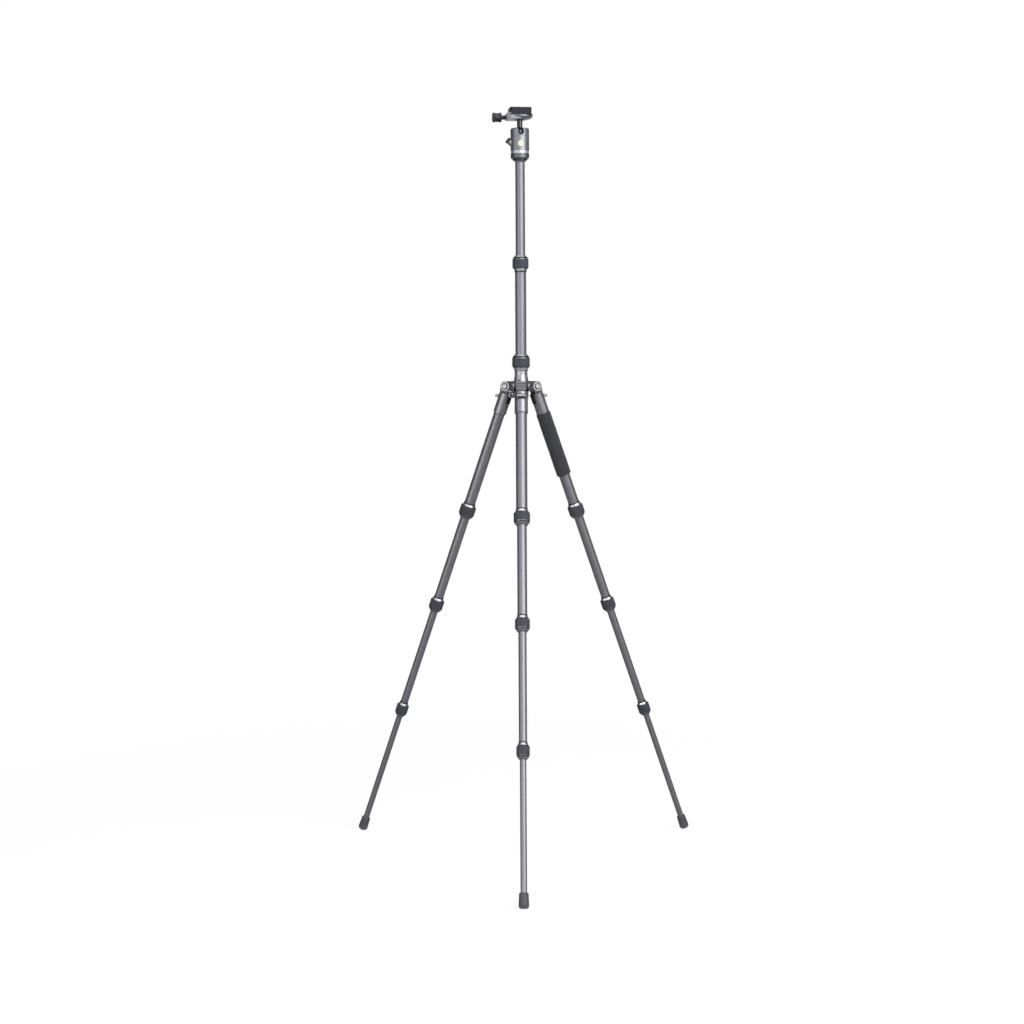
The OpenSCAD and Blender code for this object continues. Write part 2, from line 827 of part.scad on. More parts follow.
module housing_outline() {
    translate([0, housing_at]) square([housing_r, housing_top - housing_round - housing_at]);
    translate([0, housing_at]) square([housing_r - housing_round, housing_top - housing_at]);
    translate([housing_r - housing_round, housing_top - housing_round])
        intersection() {
            circle(r = housing_round);
            square([housing_round, housing_round]);
        }
}

// The slot that lets the stem drop level, towards the front
module drop_notch() {
    rotate([90, 0, 0]) cylinder(r = notch_r, h = 2 * housing_r);
    translate([-notch_r, -2 * housing_r, 0]) cube([2 * notch_r, 2 * housing_r, 2 * housing_r]);
}

// A place on the housing's front, facing forward, a given way out from its surface
module vial_place(out) {
    rotate([90, 0, 0]) translate([0, 0, housing_r + out]) children();
}

module level_disc() {
    color(disc_pale)
        on_head() translate([0, 0, vial_at])
            vial_place(-vial_depth + bond_gap)
                cylinder(r = vial_r, h = vial_depth + vial_proud);
}

// The cup under the ball, a zone of a hollow sphere
module ball_seat() {
    rim = ball_r * seat_share;
    color("gray")
        on_head() translate([0, 0, ball_at])
            difference() {
                sphere(r = ball_r + seat_wall);
                sphere(r = ball_r + running_gap);
                cylinder_span(2 * ball_r, -rim, 2 * ball_r);
            }
}

// The ball, its stem and the spigot that the clamp sits on
module ball() {
    color(black_metal)
        on_head() translate([0, 0, ball_at]) {
            sphere(r = ball_r);
            cylinder_span(stem_d / 2, 0, clamp_at - ball_at - bond_gap);
            cylinder_span(spigot_r, 0, clamp_at - ball_at + spigot_h);
        }
}

// Places the lock knob's frame: X points out along its axis, and the origin is the knob's inner end
module lock_knob_frame() {
    translate([knob_tip_x, 0, knob_tip_z])
        rotate([0, lock_knob_lean - 180, 0])
            mirror([0, 0, 1]) translate([-lock_knob_len, 0, 0]) children();
}

module ball_lock_knob() {
    color(black_metal)
        on_head() lock_knob_frame() {
            bar_x(lock_shaft_r, -lock_shaft_len, lock_shaft_r);
            intersection() {
                rotate([0, 90, 0])
                    linear_extrude(lock_knob_len)
                        polygon(ribbed(lock_knob_d / 2, rib_depth, knob_ribs));
                rotate([0, 90, 0])
                    turned([
                        [0, 0], [lock_knob_d / 2 + over, 0],
                        [lock_knob_d / 2 + over, lock_knob_len - knob_chamfer - over],
                        [lock_knob_d / 2 - knob_chamfer, lock_knob_len], [0, lock_knob_len]
                    ]);
            }
        }
}

// The plate's dovetail or the channel round it, as a half width outline grown by a gap
module dovetail(half, grow, roof) {
    low = plate_foot_z - grow;
    waist = half - flank_run;
    polygon([
        for (s = [1, -1])
            each (s == 1
                ? [[half, low], [half, low + flank_low + grow],
                    [waist, low + flank_low + flank_run + grow], [waist, roof]]
                : [[-waist, roof], [-waist, low + flank_low + flank_run + grow],
                    [-half, low + flank_low + grow], [-half, low]])
    ]);
}

// The clamp's body: a round dish, a square block under the jaw side, and the plate's channel
module clamp_body() {
    dish_low = clamp_top - dish_wall_h;
    screw_end = -body_face + clamp_screw_in + loose_gap;
    pin_end = -body_face + guide_pin_len + loose_gap;
    color(casting_grey)
        on_head()
            difference() {
                union() {
                    turned([
                        [0, clamp_at],
                        for (i = [0:3]) [dish_shares[i] * clamp_r, clamp_at + dish_hs[i]],
                        [clamp_r, dish_low], [clamp_r, clamp_top - casting_rim],
                        [clamp_r - casting_rim, clamp_top], [0, clamp_top]
                    ]);
                    translate([-body_face, -block_half, clamp_at + block_floor])
                        cube([body_face, jaw_len, clamp_h - block_floor]);
                }
                translate([-clamp_d - body_face, -clamp_d, clamp_at - over])
                    cube([clamp_d, 2 * clamp_d, clamp_h + 2 * over]);
                rotate([90, 0, 0])
                    linear_extrude(2 * clamp_d, center = true)
                        dovetail(channel_half, jaw_gap, clamp_top + over);
                translate([-clamp_d, -clamp_d, plate_foot_z + flank_low])
                    cube([clamp_d, 2 * clamp_d, clamp_h]);
                cylinder_span(spigot_r + running_gap, clamp_at - over, clamp_at + spigot_h + bond_gap);
                translate([0, 0, clamp_screw_z])
                    bar_x(clamp_screw_r + running_gap, -body_face - over, screw_end);
                for (side = [-1, 1])
                    translate([0, side * guide_pin_y, clamp_screw_z])
                        bar_x(guide_pin_r + running_gap, -body_face - over, pin_end);
            }
}

// The sliding jaw: a wall with a dovetail lip, and two guide pins
module clamp_jaw() {
    color(casting_grey)
        on_head() {
            difference() {
                rotate([90, 0, 0]) linear_extrude(jaw_len, center = true) jaw_outline();
                rotate([90, 0, 0])
                    linear_extrude(2 * clamp_d, center = true)
                        dovetail(channel_half, jaw_gap, clamp_top + over);
                translate([0, 0, clamp_screw_z])
                    bar_x(clamp_screw_r + 2 * running_gap, -jaw_reach - over, 0);
            }
            for (side = [-1, 1])
                translate([0, side * guide_pin_y, clamp_screw_z])
                    bar_x(guide_pin_r, -jaw_inner - over, -body_face + guide_pin_len);
        }
}

// The jaw's section: the wall beside the body, and the part that reaches over the plate's flank
module jaw_outline() {
    low = clamp_at + block_floor;
    polygon([
        [-jaw_inner, low], [-jaw_reach + jaw_bevel, low], [-jaw_reach, low + jaw_bevel_h],
        [-jaw_reach, clamp_top - jaw_top_bevel_h], [-jaw_reach + jaw_top_bevel, clamp_top],
        [-channel_half + flank_run, clamp_top],
        [-channel_half + flank_run, plate_foot_z + flank_low + jaw_gap],
        [-jaw_inner, plate_foot_z + flank_low + jaw_gap]
    ]);
}

module clamp_knob() {
    inner_end = -clamp_knob_reach + clamp_knob_len;
    r = clamp_knob_d / 2;
    color(black_metal)
        on_head() translate([0, 0, clamp_screw_z]) {
            bar_x(clamp_screw_r, inner_end - over, -body_face + clamp_screw_in);
            bar_x(knob_boss_r, inner_end - over, -jaw_reach - bond_gap);
            intersection() {
                translate([-clamp_knob_reach, 0, 0]) rotate([0, 90, 0])
                    linear_extrude(clamp_knob_len) polygon(ribbed(r, rib_depth, clamp_knob_ribs));
                translate([-clamp_knob_reach, 0, 0]) rotate([0, 90, 0])
                    turned([
                        [0, 0], [r - knob_chamfer, 0], [r + over, knob_chamfer + over],
                        [r + over, waist_at - clamp_waist - over], [r - clamp_waist, waist_at],
                        [r - clamp_waist, clamp_knob_len - waist_at],
                        [r + over, clamp_knob_len - waist_at + clamp_waist + over],
                        [r + over, clamp_knob_len - knob_chamfer - over],
                        [r - knob_chamfer, clamp_knob_len], [0, clamp_knob_len]
                    ]);
            }
        }
}

// The camera plate: the dovetail, a slab with round corners, the screw's hole and two pad recesses
module camera_plate() {
    slab_z = clamp_top + plate_rim;
    recess_top = plate_foot_z + screw_head_h + 2 * loose_gap;
    color(black_metal)
        on_head()
            difference() {
                union() {
                    rotate([90, 0, 0])
                        linear_extrude(plate_len, center = true) dovetail(plate_w / 2, 0, slab_z + over);
                    translate([0, 0, slab_z]) linear_extrude(plate_top - slab_z) slab_outline();
                }
                cylinder_span(screw_hole_r, plate_foot_z - over, plate_top + over);
                cylinder_span(screw_recess_r, plate_foot_z - over, recess_top);
                for (side = [-1, 1])
                    translate([side * (plate_w / 2 - pad_edge - pad_w / 2), 0, plate_top])
                        cube([pad_w, plate_len - 2 * pad_edge, 2 * pad_recess], center = true);
            }
}

// A rectangle with round corners
module slab_outline() {
    square([plate_w - 2 * plate_round, plate_len], center = true);
    square([plate_w, plate_len - 2 * plate_round], center = true);
    for (x = [-1, 1], y = [-1, 1])
        translate([x * (plate_w / 2 - plate_round), y * (plate_len / 2 - plate_round)])
            circle(r = plate_round);
}

// The captive camera screw: a slotted head in the recess, a thin shank and the thread on top
module camera_screw() {
    head_low = plate_foot_z + loose_gap;
    color(bright_metal)
        on_head()
            difference() {
                turned([
                    [0, head_low], [screw_head_r, head_low], [screw_head_r, head_low + screw_head_h],
                    [shank_r, head_low + screw_head_h], [shank_r, plate_top],
                    [screw_r, plate_top], [screw_r, plate_top + screw_up - screw_tip],
                    [screw_r - screw_tip, plate_top + screw_up], [0, plate_top + screw_up]
                ]);
                translate([0, 0, head_low])
                    cube([3 * screw_head_r, screw_slot_w, 2 * screw_slot_h], center = true);
            }
}

spider();
hinge_bolts();
column_lock_low();
lower_column();
lower_column_ferrule();
column_lock_high();
upper_column();
column_top_plate();
bag_hook();
foam_grip();
pan_base();
head_housing();
level_disc();
ball_seat();
ball();
ball_lock_knob();
clamp_body();
clamp_jaw();
clamp_knob();
camera_plate();
camera_screw();
for (i = [0:2]) {
    on_leg(i) leg_casting();
    on_leg(i) angle_tab();
    for (k = [0:3])
        on_leg(i) leg_tube(k);
    for (k = [0:2]) {
        on_leg(i) leg_ferrule(k);
        on_leg(i) leg_lock(k);
    }
    leg_foot(i);
}
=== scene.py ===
"""Travel tripod: materials, small pieces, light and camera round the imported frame.

Blender's own lengths are metres. Sizes written here, and the coordinates that the materials read, are in
millimetres unless a comment says otherwise. Colours are linear.
"""
import math

import bmesh
import bpy
from mathutils import Matrix, Vector


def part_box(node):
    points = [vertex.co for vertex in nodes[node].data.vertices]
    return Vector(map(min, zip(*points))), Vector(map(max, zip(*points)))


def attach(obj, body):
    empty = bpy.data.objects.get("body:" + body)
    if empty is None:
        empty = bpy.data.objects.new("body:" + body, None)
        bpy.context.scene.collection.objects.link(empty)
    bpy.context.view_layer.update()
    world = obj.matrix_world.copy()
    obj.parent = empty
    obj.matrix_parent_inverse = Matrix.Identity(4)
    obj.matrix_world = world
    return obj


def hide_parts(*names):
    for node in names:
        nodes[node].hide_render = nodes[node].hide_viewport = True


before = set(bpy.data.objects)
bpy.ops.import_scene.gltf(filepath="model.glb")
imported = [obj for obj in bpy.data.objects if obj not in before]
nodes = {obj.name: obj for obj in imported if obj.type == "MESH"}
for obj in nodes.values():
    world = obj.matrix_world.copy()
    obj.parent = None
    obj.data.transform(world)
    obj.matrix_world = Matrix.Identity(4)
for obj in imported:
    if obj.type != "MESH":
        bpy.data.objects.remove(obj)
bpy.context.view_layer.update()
scene = bpy.context.scene
MM = 0.001

# Sizes of the CAD model, in millimetres and degrees
LEG_AZIMUTH = {"front": -90, "right": 30, "left": 150}
LEG_SPREAD = 21.3
HINGE_R = 26.4
HINGE_ABOVE_COLUMN_END = 31
TUBE_R = (10, 8.5, 7, 5.5)
LEG_LOCKS_DOWN = (242.6, 432.1, 650.5)
LOW_LOCK_UP, HIGH_LOCK_UP = 41.9, 217.2
HEAD_TURN = 7.5
DISC_UP = 26.4
PLATE_TOP, PLATE_HALF_W = 88.9, 19

# Carbon tows round each size of tube, and the colour of rubbed metal edges
TUBE_TOWS = (40, 36, 28, 24)
WORN_METAL = (0.62, 0.62, 0.66, 1)

# The photograph's camera, fitted to the legs and the column
IMAGE_PX, FOCAL_PX = 1024, 1865.879
EYE_AWAY, EYE_UP = 3344.391, 885.312
EYE_PITCH, EYE_ROLL, EYE_YAW = 4.474, 0.329, -0.302
SENSOR_W = 36


def turned(degrees, axis):
    return Matrix.Rotation(math.radians(degrees), 4, axis)


def moved(x=0, y=0, z=0):
    return Matrix.Translation((x * MM, y * MM, z * MM))


# Frames of the column, the head and the legs: Z runs up the column, and up each leg's tube from its foot
column_end, column_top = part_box("lower_column")
COLUMN_Y = (column_end.y + column_top.y) / 2
COLUMN = Matrix.Translation((0, COLUMN_Y, column_end.z)) @ moved(z=HINGE_ABOVE_COLUMN_END)
HEAD = Matrix.Translation((0, COLUMN_Y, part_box("pan_base")[0].z)) @ turned(HEAD_TURN, "Z")
LEGS = {
    side: COLUMN @ turned(azimuth, "Z") @ moved(x=HINGE_R) @ turned(-LEG_SPREAD, "Y")
    for side, azimuth in LEG_AZIMUTH.items()
}


# Materials


class Nodes:
    """A node tree written as calls: a value is a number, a colour or another node's output."""

    def __init__(self, owner):
        """Starts the tree of a material or a world afresh."""
        owner.use_nodes = True
        self.owner = owner
        self.tree = owner.node_tree
        self.tree.nodes.clear()

    def add(self, kind, out=0, settings=None, **inputs):
        """Adds a node and gives one of its outputs. An input goes by its name, or its number as i0 or i1."""
        node = self.tree.nodes.new("ShaderNode" + kind)
        for key, value in (settings or {}).items():
            setattr(node, key, value)
        for key, value in inputs.items():
            numbered = key[0] == "i" and key[1:].isdigit()
            socket = node.inputs[int(key[1:]) if numbered else key.replace("_", " ")]
            if isinstance(value, bpy.types.NodeSocket):
                self.tree.links.new(value, socket)
            else:
                socket.default_value = value
        return node.outputs[out]

    def finish(self, shader, kind="OutputMaterial"):
        """Joins a shader to the output, and gives the material or world."""
        output = self.tree.nodes.new("ShaderNode" + kind)
        self.tree.links.new(shader, output.inputs[0])
        return self.owner

    def surface(self, **inputs):
        return self.finish(self.add("BsdfPrincipled", **inputs))

    def math(self, operation, a, b=0.0):
        return self.add("Math", settings={"operation": operation}, i0=a, i1=b)

    def product(self, first, *others):
        for other in others:
            first = self.math("MULTIPLY", first, other)
        return first

    def most(self, first, *others):
        for other in others:
            first = self.math("MAXIMUM", first, other)
        return first

    def plus(self, a, b):
        return self.math("ADD", a, b)

    def minus(self, a, b):
        return self.math("SUBTRACT", a, b)

    def outside(self, mask):
        return self.minus(1.0, mask)

    def length(self, a, b):
        """How long the line is whose two sides are a and b."""
        return self.math("SQRT", self.plus(self.product(a, a), self.product(b, b)))

    def blend(self, factor, a, b):
        """Colour a where the factor is 0, and b where it is 1."""
        return self.add("Mix", out=2, settings={"data_type": "RGBA"}, i0=factor, i6=a, i7=b)

    def lerp(self, factor, a, b):
        """Number a where the factor is 0, and b where it is 1."""
        return self.add("MapRange", i0=factor, i1=0.0, i2=1.0, i3=a, i4=b)

    def vary(self, noise, spread):
        """A factor about 1, which the noise moves up and down by the spread."""
        return self.lerp(noise, 1 - spread, 1 + spread)

    def step(self, value, low_edge, high_edge):
        """0 below the low edge and 1 above the high edge."""
        smooth = {"interpolation_type": "SMOOTHSTEP"}
        return self.add("MapRange", settings=smooth, i0=value, i1=low_edge, i2=high_edge, i3=0.0, i4=1.0)

    def band(self, value, start, end, soft):
        """1 from start to end, with both edges softened."""
        past_start = self.step(value, start - soft, start + soft)
        past_end = self.step(value, end - soft, end + soft)
        return self.product(past_start, self.outside(past_end))

    def own(self, place):
        """Coordinates in a piece's own frame, in millimetres."""
        return self.add(
            "Mapping",
            settings={"vector_type": "TEXTURE"},
            Vector=self.add("TexCoord", out="Object"),
            Location=place.translation,
            Rotation=place.to_euler("XYZ"),
            Scale=(MM, MM, MM),
        )

    def split(self, vector):
        node = self.tree.nodes.new("ShaderNodeSeparateXYZ")
        self.tree.links.new(vector, node.inputs[0])
        return node.outputs[0], node.outputs[1], node.outputs[2]

    def noise(self, vector, scale, detail=4.0, rough=0.55):
        return self.add("TexNoise", Vector=vector, Scale=scale, Detail=detail, Roughness=rough)

    def lathe_lines(self, along, per_mm=9.0):
        """Fine rings that a cutting tool leaves along a turned piece."""
        return self.noise(self.add("CombineXYZ", X=self.product(along, per_mm)), 1.0, 3.0)

    def scaled(self, colour, factor):
        """A colour times a factor."""
        colour = colour[:3] if isinstance(colour, tuple) else colour
        return self.add("VectorMath", settings={"operation": "SCALE"}, i0=colour, Scale=factor)

    def bump(self, height, depth, strength, normal=None):
        extra = {"Normal": normal} if normal else {}
        return self.add("Bump", Height=height, Distance=depth * MM, Strength=strength, **extra)

    def edges(self, radius):
        """A rounded normal, and how sharply the surface turns here, from 0 to 1."""
        rounded = self.add("Bevel", settings={"samples": 6}, Radius=radius * MM)
        plain = self.add("NewGeometry", out="Normal")
        dot = self.add("VectorMath", out="Value", settings={"operation": "DOT_PRODUCT"}, i0=rounded, i1=plain)
        return rounded, self.step(self.outside(dot), 0.01, 0.16)


def new_nodes(name):
    return Nodes(bpy.data.materials.new(name))


def carbon(name, place, size):
    """A rolled carbon tube: a fine plain weave of flat tows under a satin clear coat; the tows that run along
    the tube are painted lighter, a painted sheen.
    """
    n = new_nodes(name)
    spot = n.own(place)
    x, y, z = n.split(spot)
    tow_width = 2 * math.pi * TUBE_R[size] / TUBE_TOWS[size]
    around = n.product(n.math("ARCTAN2", y, x), TUBE_TOWS[size] / (2 * math.pi))
    along = n.math("DIVIDE", z, tow_width)
    cell = n.plus(n.math("FLOOR", around), n.math("FLOOR", along))
    over = n.math("LESS_THAN", n.math("FLOORED_MODULO", cell, 2.0), 0.5)

    def crown(across):
        """A tow's height across its width."""
        return n.math("POWER", n.product(n.math("PINGPONG", across, 0.5), 2.0), 0.6)

    def threads(per_tow_around, per_tow_along):
        """The threads in a tow: many across it, and long along it."""
        drawn = n.add("CombineXYZ", X=n.product(around, per_tow_around), Y=n.product(along, per_tow_along))
        return n.noise(drawn, 1.0, 2.0)

    thread = n.lerp(over, threads(0.6, 9.0), threads(9.0, 0.6))
    cloud = n.noise(spot, 0.038, 5.0)
    # Painted sheen: the tows that run along the tube get the lighter colour.
    base = n.blend(over, (0.225, 0.222, 0.245, 1), (0.27, 0.266, 0.295, 1))
    base = n.scaled(base, n.product(n.vary(thread, 0.12), n.vary(cloud, 0.1)))
    lengthwise = n.add("VectorMath", settings={"operation": "MULTIPLY"}, i0=spot, i1=(0.42, 0.42, 0.06))
    rubbed = n.step(n.noise(lengthwise, 1.0, 5.0), 0.62, 0.76)
    height = n.plus(n.lerp(over, crown(along), crown(around)), n.product(thread, 0.25))
    return n.surface(
        Base_Color=n.blend(n.product(rubbed, 0.25), base, (0.38, 0.38, 0.4, 1)),
        Metallic=0.6,
        Roughness=n.plus(n.lerp(over, 0.42, 0.38), n.product(rubbed, 0.1)),
        Normal=n.bump(height, 0.09, 0.4),
        Coat_Weight=0.25,
        Coat_Roughness=0.2,
    )


def cast_metal(name, place, tint, metallic=0.55, rough=0.36, speckle=1.0, worn=WORN_METAL, marks=None):
    """Cast and painted metal: a fine speckle, a cloudy tone, and rounded edges rubbed to the worn colour."""
    n = new_nodes(name)
    spot = n.own(place)
    rounded, edge = n.edges(0.5)
    fine = n.noise(spot, 2.6, 3.0, 0.7)
    cloud = n.noise(spot, 0.055, 5.0)
    chips = n.product(edge, n.step(n.noise(spot, 0.3), 0.42, 0.62))
    colour = n.scaled(tint, n.product(n.vary(cloud, 0.15), n.vary(fine, 0.14)))
    colour = n.blend(n.product(chips, 0.6), colour, worn)
    height = n.product(fine, speckle)
    if marks:
        colour, height = marks(n, spot, colour, height)
    return n.surface(
        Base_Color=colour,
        Metallic=metallic,
        Roughness=n.plus(n.lerp(cloud, rough - 0.05, rough + 0.07), n.product(chips, -0.06)),
        Normal=n.bump(height, 0.05, 0.6, rounded),
        Coat_Weight=0.15,
        Coat_Roughness=0.3,
    )


def turned_metal(name, place, tint, dark=None, rough=0.26):
    """Lathe-turned metal with fine rings. It is black between the two heights in dark."""
    n = new_nodes(name)
    spot = n.own(place)
    z = n.split(spot)[2]
    rounded, edge = n.edges(0.3)
    rings = n.lathe_lines(z)
    cloud = n.noise(spot, 0.07)
    colour = n.scaled(tint, n.product(n.vary(rings, 0.12), n.vary(cloud, 0.1)))
    colour = n.blend(n.product(edge, 0.35), colour, (0.85, 0.85, 0.88, 1))
    metallic = 0.9
    roughness = n.lerp(cloud, rough, rough + 0.12)
    if dark:
        black = n.band(z, *dark, 0.05)
        colour = n.blend(black, colour, (0.03, 0.03, 0.034, 1))
        metallic = n.lerp(black, metallic, 0.1)
        roughness = n.lerp(black, roughness, 0.5)
    return n.surface(
        Base_Color=colour,
        Metallic=metallic,
        Roughness=roughness,
        Normal=n.bump(rings, 0.03, 0.5, rounded),
        Anisotropic=0.3,
    )


def lock_rubber(name, place, ring_side=1, ring_from=11.8):
    """A twist collar: a rubber barrel, a black band with a painted highlight at its edge and a bright ring,
    below the barrel for ring_side -1.
    """
    n = new_nodes(name)
    spot = n.own(place)
    along = n.product(n.split(spot)[2], float(ring_side))
    rounded, edge = n.edges(0.3)
    fine = n.noise(spot, 1.8, 4.0, 0.65)
    cloud = n.noise(spot, 0.06, 5.0)
    turned_rings = n.lathe_lines(along)
    black = n.step(along, 8.0, 8.2)
    lip = n.outside(n.step(along, -8.1, -7.8))
    ring = n.band(along, ring_from, 14.75, 0.08)
    # Painted highlight: a thin bright line where the black band starts.
    painted_glint = n.band(along, 8.15, 8.75, 0.06)
    rubber = n.scaled((0.062, 0.065, 0.085, 1), n.product(n.vary(cloud, 0.2), n.vary(fine, 0.15)))
    rubber = n.blend(n.product(edge, 0.35), rubber, (0.12, 0.12, 0.15, 1))
    dark = n.scaled((0.022, 0.022, 0.028, 1), n.vary(cloud, 0.2))
    bright = n.scaled((0.33, 0.33, 0.355, 1), n.vary(turned_rings, 0.15))
    colour = n.blend(ring, n.blend(n.most(black, lip), rubber, dark), bright)
    return n.surface(
        Base_Color=n.blend(painted_glint, colour, (0.45, 0.45, 0.48, 1)),
        Metallic=n.product(n.most(ring, painted_glint), 0.7),
        Roughness=n.lerp(n.most(ring, black), n.lerp(fine, 0.5, 0.66), 0.3),
        Normal=n.bump(n.lerp(ring, fine, turned_rings), 0.05, 0.5, rounded),
        Specular_IOR_Level=0.4,
    )


def dark_plastic(name, place, tint, rough=0.45, grain=1.5, metallic=0.0, specular=0.5):
    """Black anodised or moulded parts: a fine grain, a cloudy gloss and edges rubbed lighter."""
    n = new_nodes(name)
    spot = n.own(place)
    rounded, edge = n.edges(0.4)
    fine = n.noise(spot, grain, 4.0, 0.65)
    cloud = n.noise(spot, 0.08, 5.0)
    base = n.scaled(tint, n.product(n.vary(cloud, 0.18), n.vary(fine, 0.14)))
    lighter = tuple(min(1, 2.0 * level + 0.012) for level in tint[:3]) + (1,)
    return n.surface(
        Base_Color=n.blend(n.product(edge, 0.45), base, lighter),
        Metallic=metallic,
        Roughness=n.lerp(cloud, rough - 0.06, rough + 0.08),
        Normal=n.bump(fine, 0.04, 0.5, rounded),
        Specular_IOR_Level=specular,
    )


def foam_surface(name, place):
    """Closed-cell foam: open pores at two sizes, painted near black as painted shade, over a slightly mottled
    dark skin.
    """
    n = new_nodes(name)
    spot = n.own(place)
    small_cells = n.step(n.add("TexVoronoi", Vector=spot, Scale=0.9), 0.1, 0.5)
    large_cells = n.step(n.add("TexVoronoi", Vector=spot, Scale=0.33), 0.05, 0.35)
    skin = n.product(small_cells, large_cells)
    cloud = n.noise(spot, 0.03, 5.0)
    tint = n.scaled((0.054, 0.056, 0.066, 1), n.lerp(cloud, 0.78, 1.25))
    # The pores are painted near black: painted shade in their hollows.
    return n.surface(
        Base_Color=n.blend(skin, (0.02, 0.019, 0.022, 1), tint),
        Roughness=n.lerp(cloud, 0.82, 0.94),
        Normal=n.bump(n.plus(skin, n.product(cloud, 0.6)), 0.22, 0.7),
        Specular_IOR_Level=0.25,
        Sheen_Weight=0.12,
        Sheen_Roughness=0.6,
    )


# Marks: each takes a cast metal's colour and height, and gives both back with the piece's own detail and some
# painted shade and painted highlights


def pan_marks(n, spot, colour, height):
    """On the head's base: the bright panning ring with a mark every five degrees, each sixth one longer."""
    ring_low, mark_low, short_top, long_top = 9.3, 10.1, 12.4, 13.6
    mark_count, long_every = 72, 6
    x, y, z = n.split(spot)
    turn = n.product(n.math("ARCTAN2", y, x), mark_count / (2 * math.pi))
    is_long = n.math("LESS_THAN", n.math("PINGPONG", n.math("DIVIDE", turn, long_every), 0.5), 0.06)
    on_mark = n.math("LESS_THAN", n.math("PINGPONG", turn, 0.5), 0.09)
    below_top = n.math("LESS_THAN", z, n.lerp(is_long, short_top, long_top))
    mark = n.product(on_mark, below_top, n.step(z, mark_low, mark_low + 0.1))
    pale = n.scaled((0.66, 0.66, 0.7, 1), n.vary(n.noise(spot, 0.9, 2.0), 0.1))
    marked = n.blend(mark, pale, (0.05, 0.05, 0.055, 1))
    colour = n.blend(n.step(z, ring_low, ring_low + 0.12), colour, marked)
    return colour, n.minus(height, n.product(mark, 1.5))


def towards(n, x, y, azimuth):
    """How far a point lies from the column's axis, measured towards an azimuth."""
    angle = math.radians(azimuth)
    return n.plus(n.product(x, math.cos(angle)), n.product(y, math.sin(angle)))


def from_pivots(n, spot):
    """How far a point lies from the nearest hinge bolt's axis."""
    x, y, z = n.split(spot)
    nearest = 1000.0
    for azimuth in LEG_AZIMUTH.values():
        out = n.minus(towards(n, x, y, azimuth), HINGE_R)
        nearest = n.math("MINIMUM", nearest, n.length(out, z))
    return nearest


def spider_marks(n, spot, colour, height):
    """On the spider: ear faces painted dark as painted shade, with bright rims; the eyelet's rim with a
    painted highlight on its outer half and painted shade in its bore; the neck's ring with a darker band
    below it; and painted shade in the grooves round the bolts and in the gap over the front leg's knuckle.
    """
    x, y, z = n.split(spot)
    pivot = from_pivots(n, spot)
    on_arm = n.product(n.step(n.length(x, y), 13.6, 14.0), n.step(z, -9.6, -9.2))
    shaded_groove = n.band(pivot, 5.1, 6.2, 0.12)
    ear_rim = n.product(n.band(pivot, 6.6, 8.4, 0.3), on_arm)
    ear_face_shade = n.product(on_arm, n.outside(ear_rim))

    eye_azimuth, eye_out, eye_down = 210, 18.96, 14.8
    from_eye_x = n.minus(towards(n, x, y, eye_azimuth), eye_out)
    from_eye = n.length(from_eye_x, n.plus(z, eye_down))
    eye_rim_highlight = n.product(n.band(from_eye, 4.7, 6.7, 0.3), n.step(from_eye_x, -1.0, 0.5))
    eye_bore_shade = n.outside(n.step(from_eye, 3.0, 4.0))

    neck_ring = n.band(z, 28.6, 33.2, 0.12)
    neck_dark = n.product(n.band(z, 26.6, 28.3, 0.15), 0.6)
    in_front = n.outside(n.step(y, -6.0, -4.0))
    gap_shade = n.product(n.band(x, -7.2, -0.6, 0.3), n.band(z, 9.9, 11.6, 0.25), in_front)

    pale = n.scaled((0.62, 0.62, 0.65, 1), n.vary(n.noise(spot, 0.9, 2.0), 0.1))
    # Painted shade: the ear faces are painted near black.
    colour = n.blend(n.product(ear_face_shade, 0.96), colour, (0.032, 0.032, 0.037, 1))
    colour = n.blend(n.product(n.most(ear_rim, neck_ring), 0.75), colour, pale)
    # Painted highlight: the outer half of the eyelet's rim is painted near white.
    colour = n.blend(eye_rim_highlight, colour, (0.95, 0.95, 0.97, 1))
    # Painted shade, near black, in the grooves round the bolts, the eyelet's bore and the gap over the front
    # leg's knuckle; below the neck ring a darker band.
    dark = n.product(n.most(shaded_groove, neck_dark, eye_bore_shade, gap_shade), 0.92)
    colour = n.blend(dark, colour, (0.02, 0.02, 0.024, 1))
    return colour, n.minus(height, n.product(n.plus(shaded_groove, gap_shade), 3.0))


def bolt_marks(n, spot, colour, height):
    """On the bolts' heads: a dented ring round the socket, painted dark as painted shade."""
    ring = n.band(from_pivots(n, spot), 3.3, 4.5, 0.12)
    # Painted shade in the dented ring.
    return n.blend(n.product(ring, 0.75), colour, (0.05, 0.05, 0.055, 1)), n.minus(height, ring)


def casting_marks(n, spot, colour, height):
    """On a leg's casting: a darker knuckle, grip grooves painted black as painted shade, and painted shade in
    lines above and below the tab.
    """
    groove_top, groove_pitch, groove_count = 5.1, 3.6, 3
    x, y, z = n.split(spot)
    knuckle = n.step(z, -14.5, -12.5)
    colour = n.blend(n.product(knuckle, 0.7), colour, (0.11, 0.11, 0.122, 1))
    steps = n.math("DIVIDE", n.minus(groove_top, z), groove_pitch)
    from_groove = n.math("ABSOLUTE", n.minus(steps, n.math("ROUND", steps)))
    has_groove = n.band(steps, 0.5, groove_count + 0.5, 0.02)
    # Painted shade: the grip grooves are painted near black.
    shaded_groove = n.product(n.outside(n.step(from_groove, 0.1, 0.16)), has_groove, n.step(x, 9.0, 9.4))
    shade_above_tab = n.band(z, -18.6, -17.2, 0.15)
    shadow_under_tab = n.band(z, -28.2, -26.2, 0.2)
    # Painted shade in a line above the tab and a painted shadow below it.
    line = n.product(n.step(x, 7.4, 8.2), n.most(shade_above_tab, shadow_under_tab))
    return n.blend(n.product(n.most(shaded_groove, line), 0.8), colour, (0.03, 0.03, 0.035, 1)), height


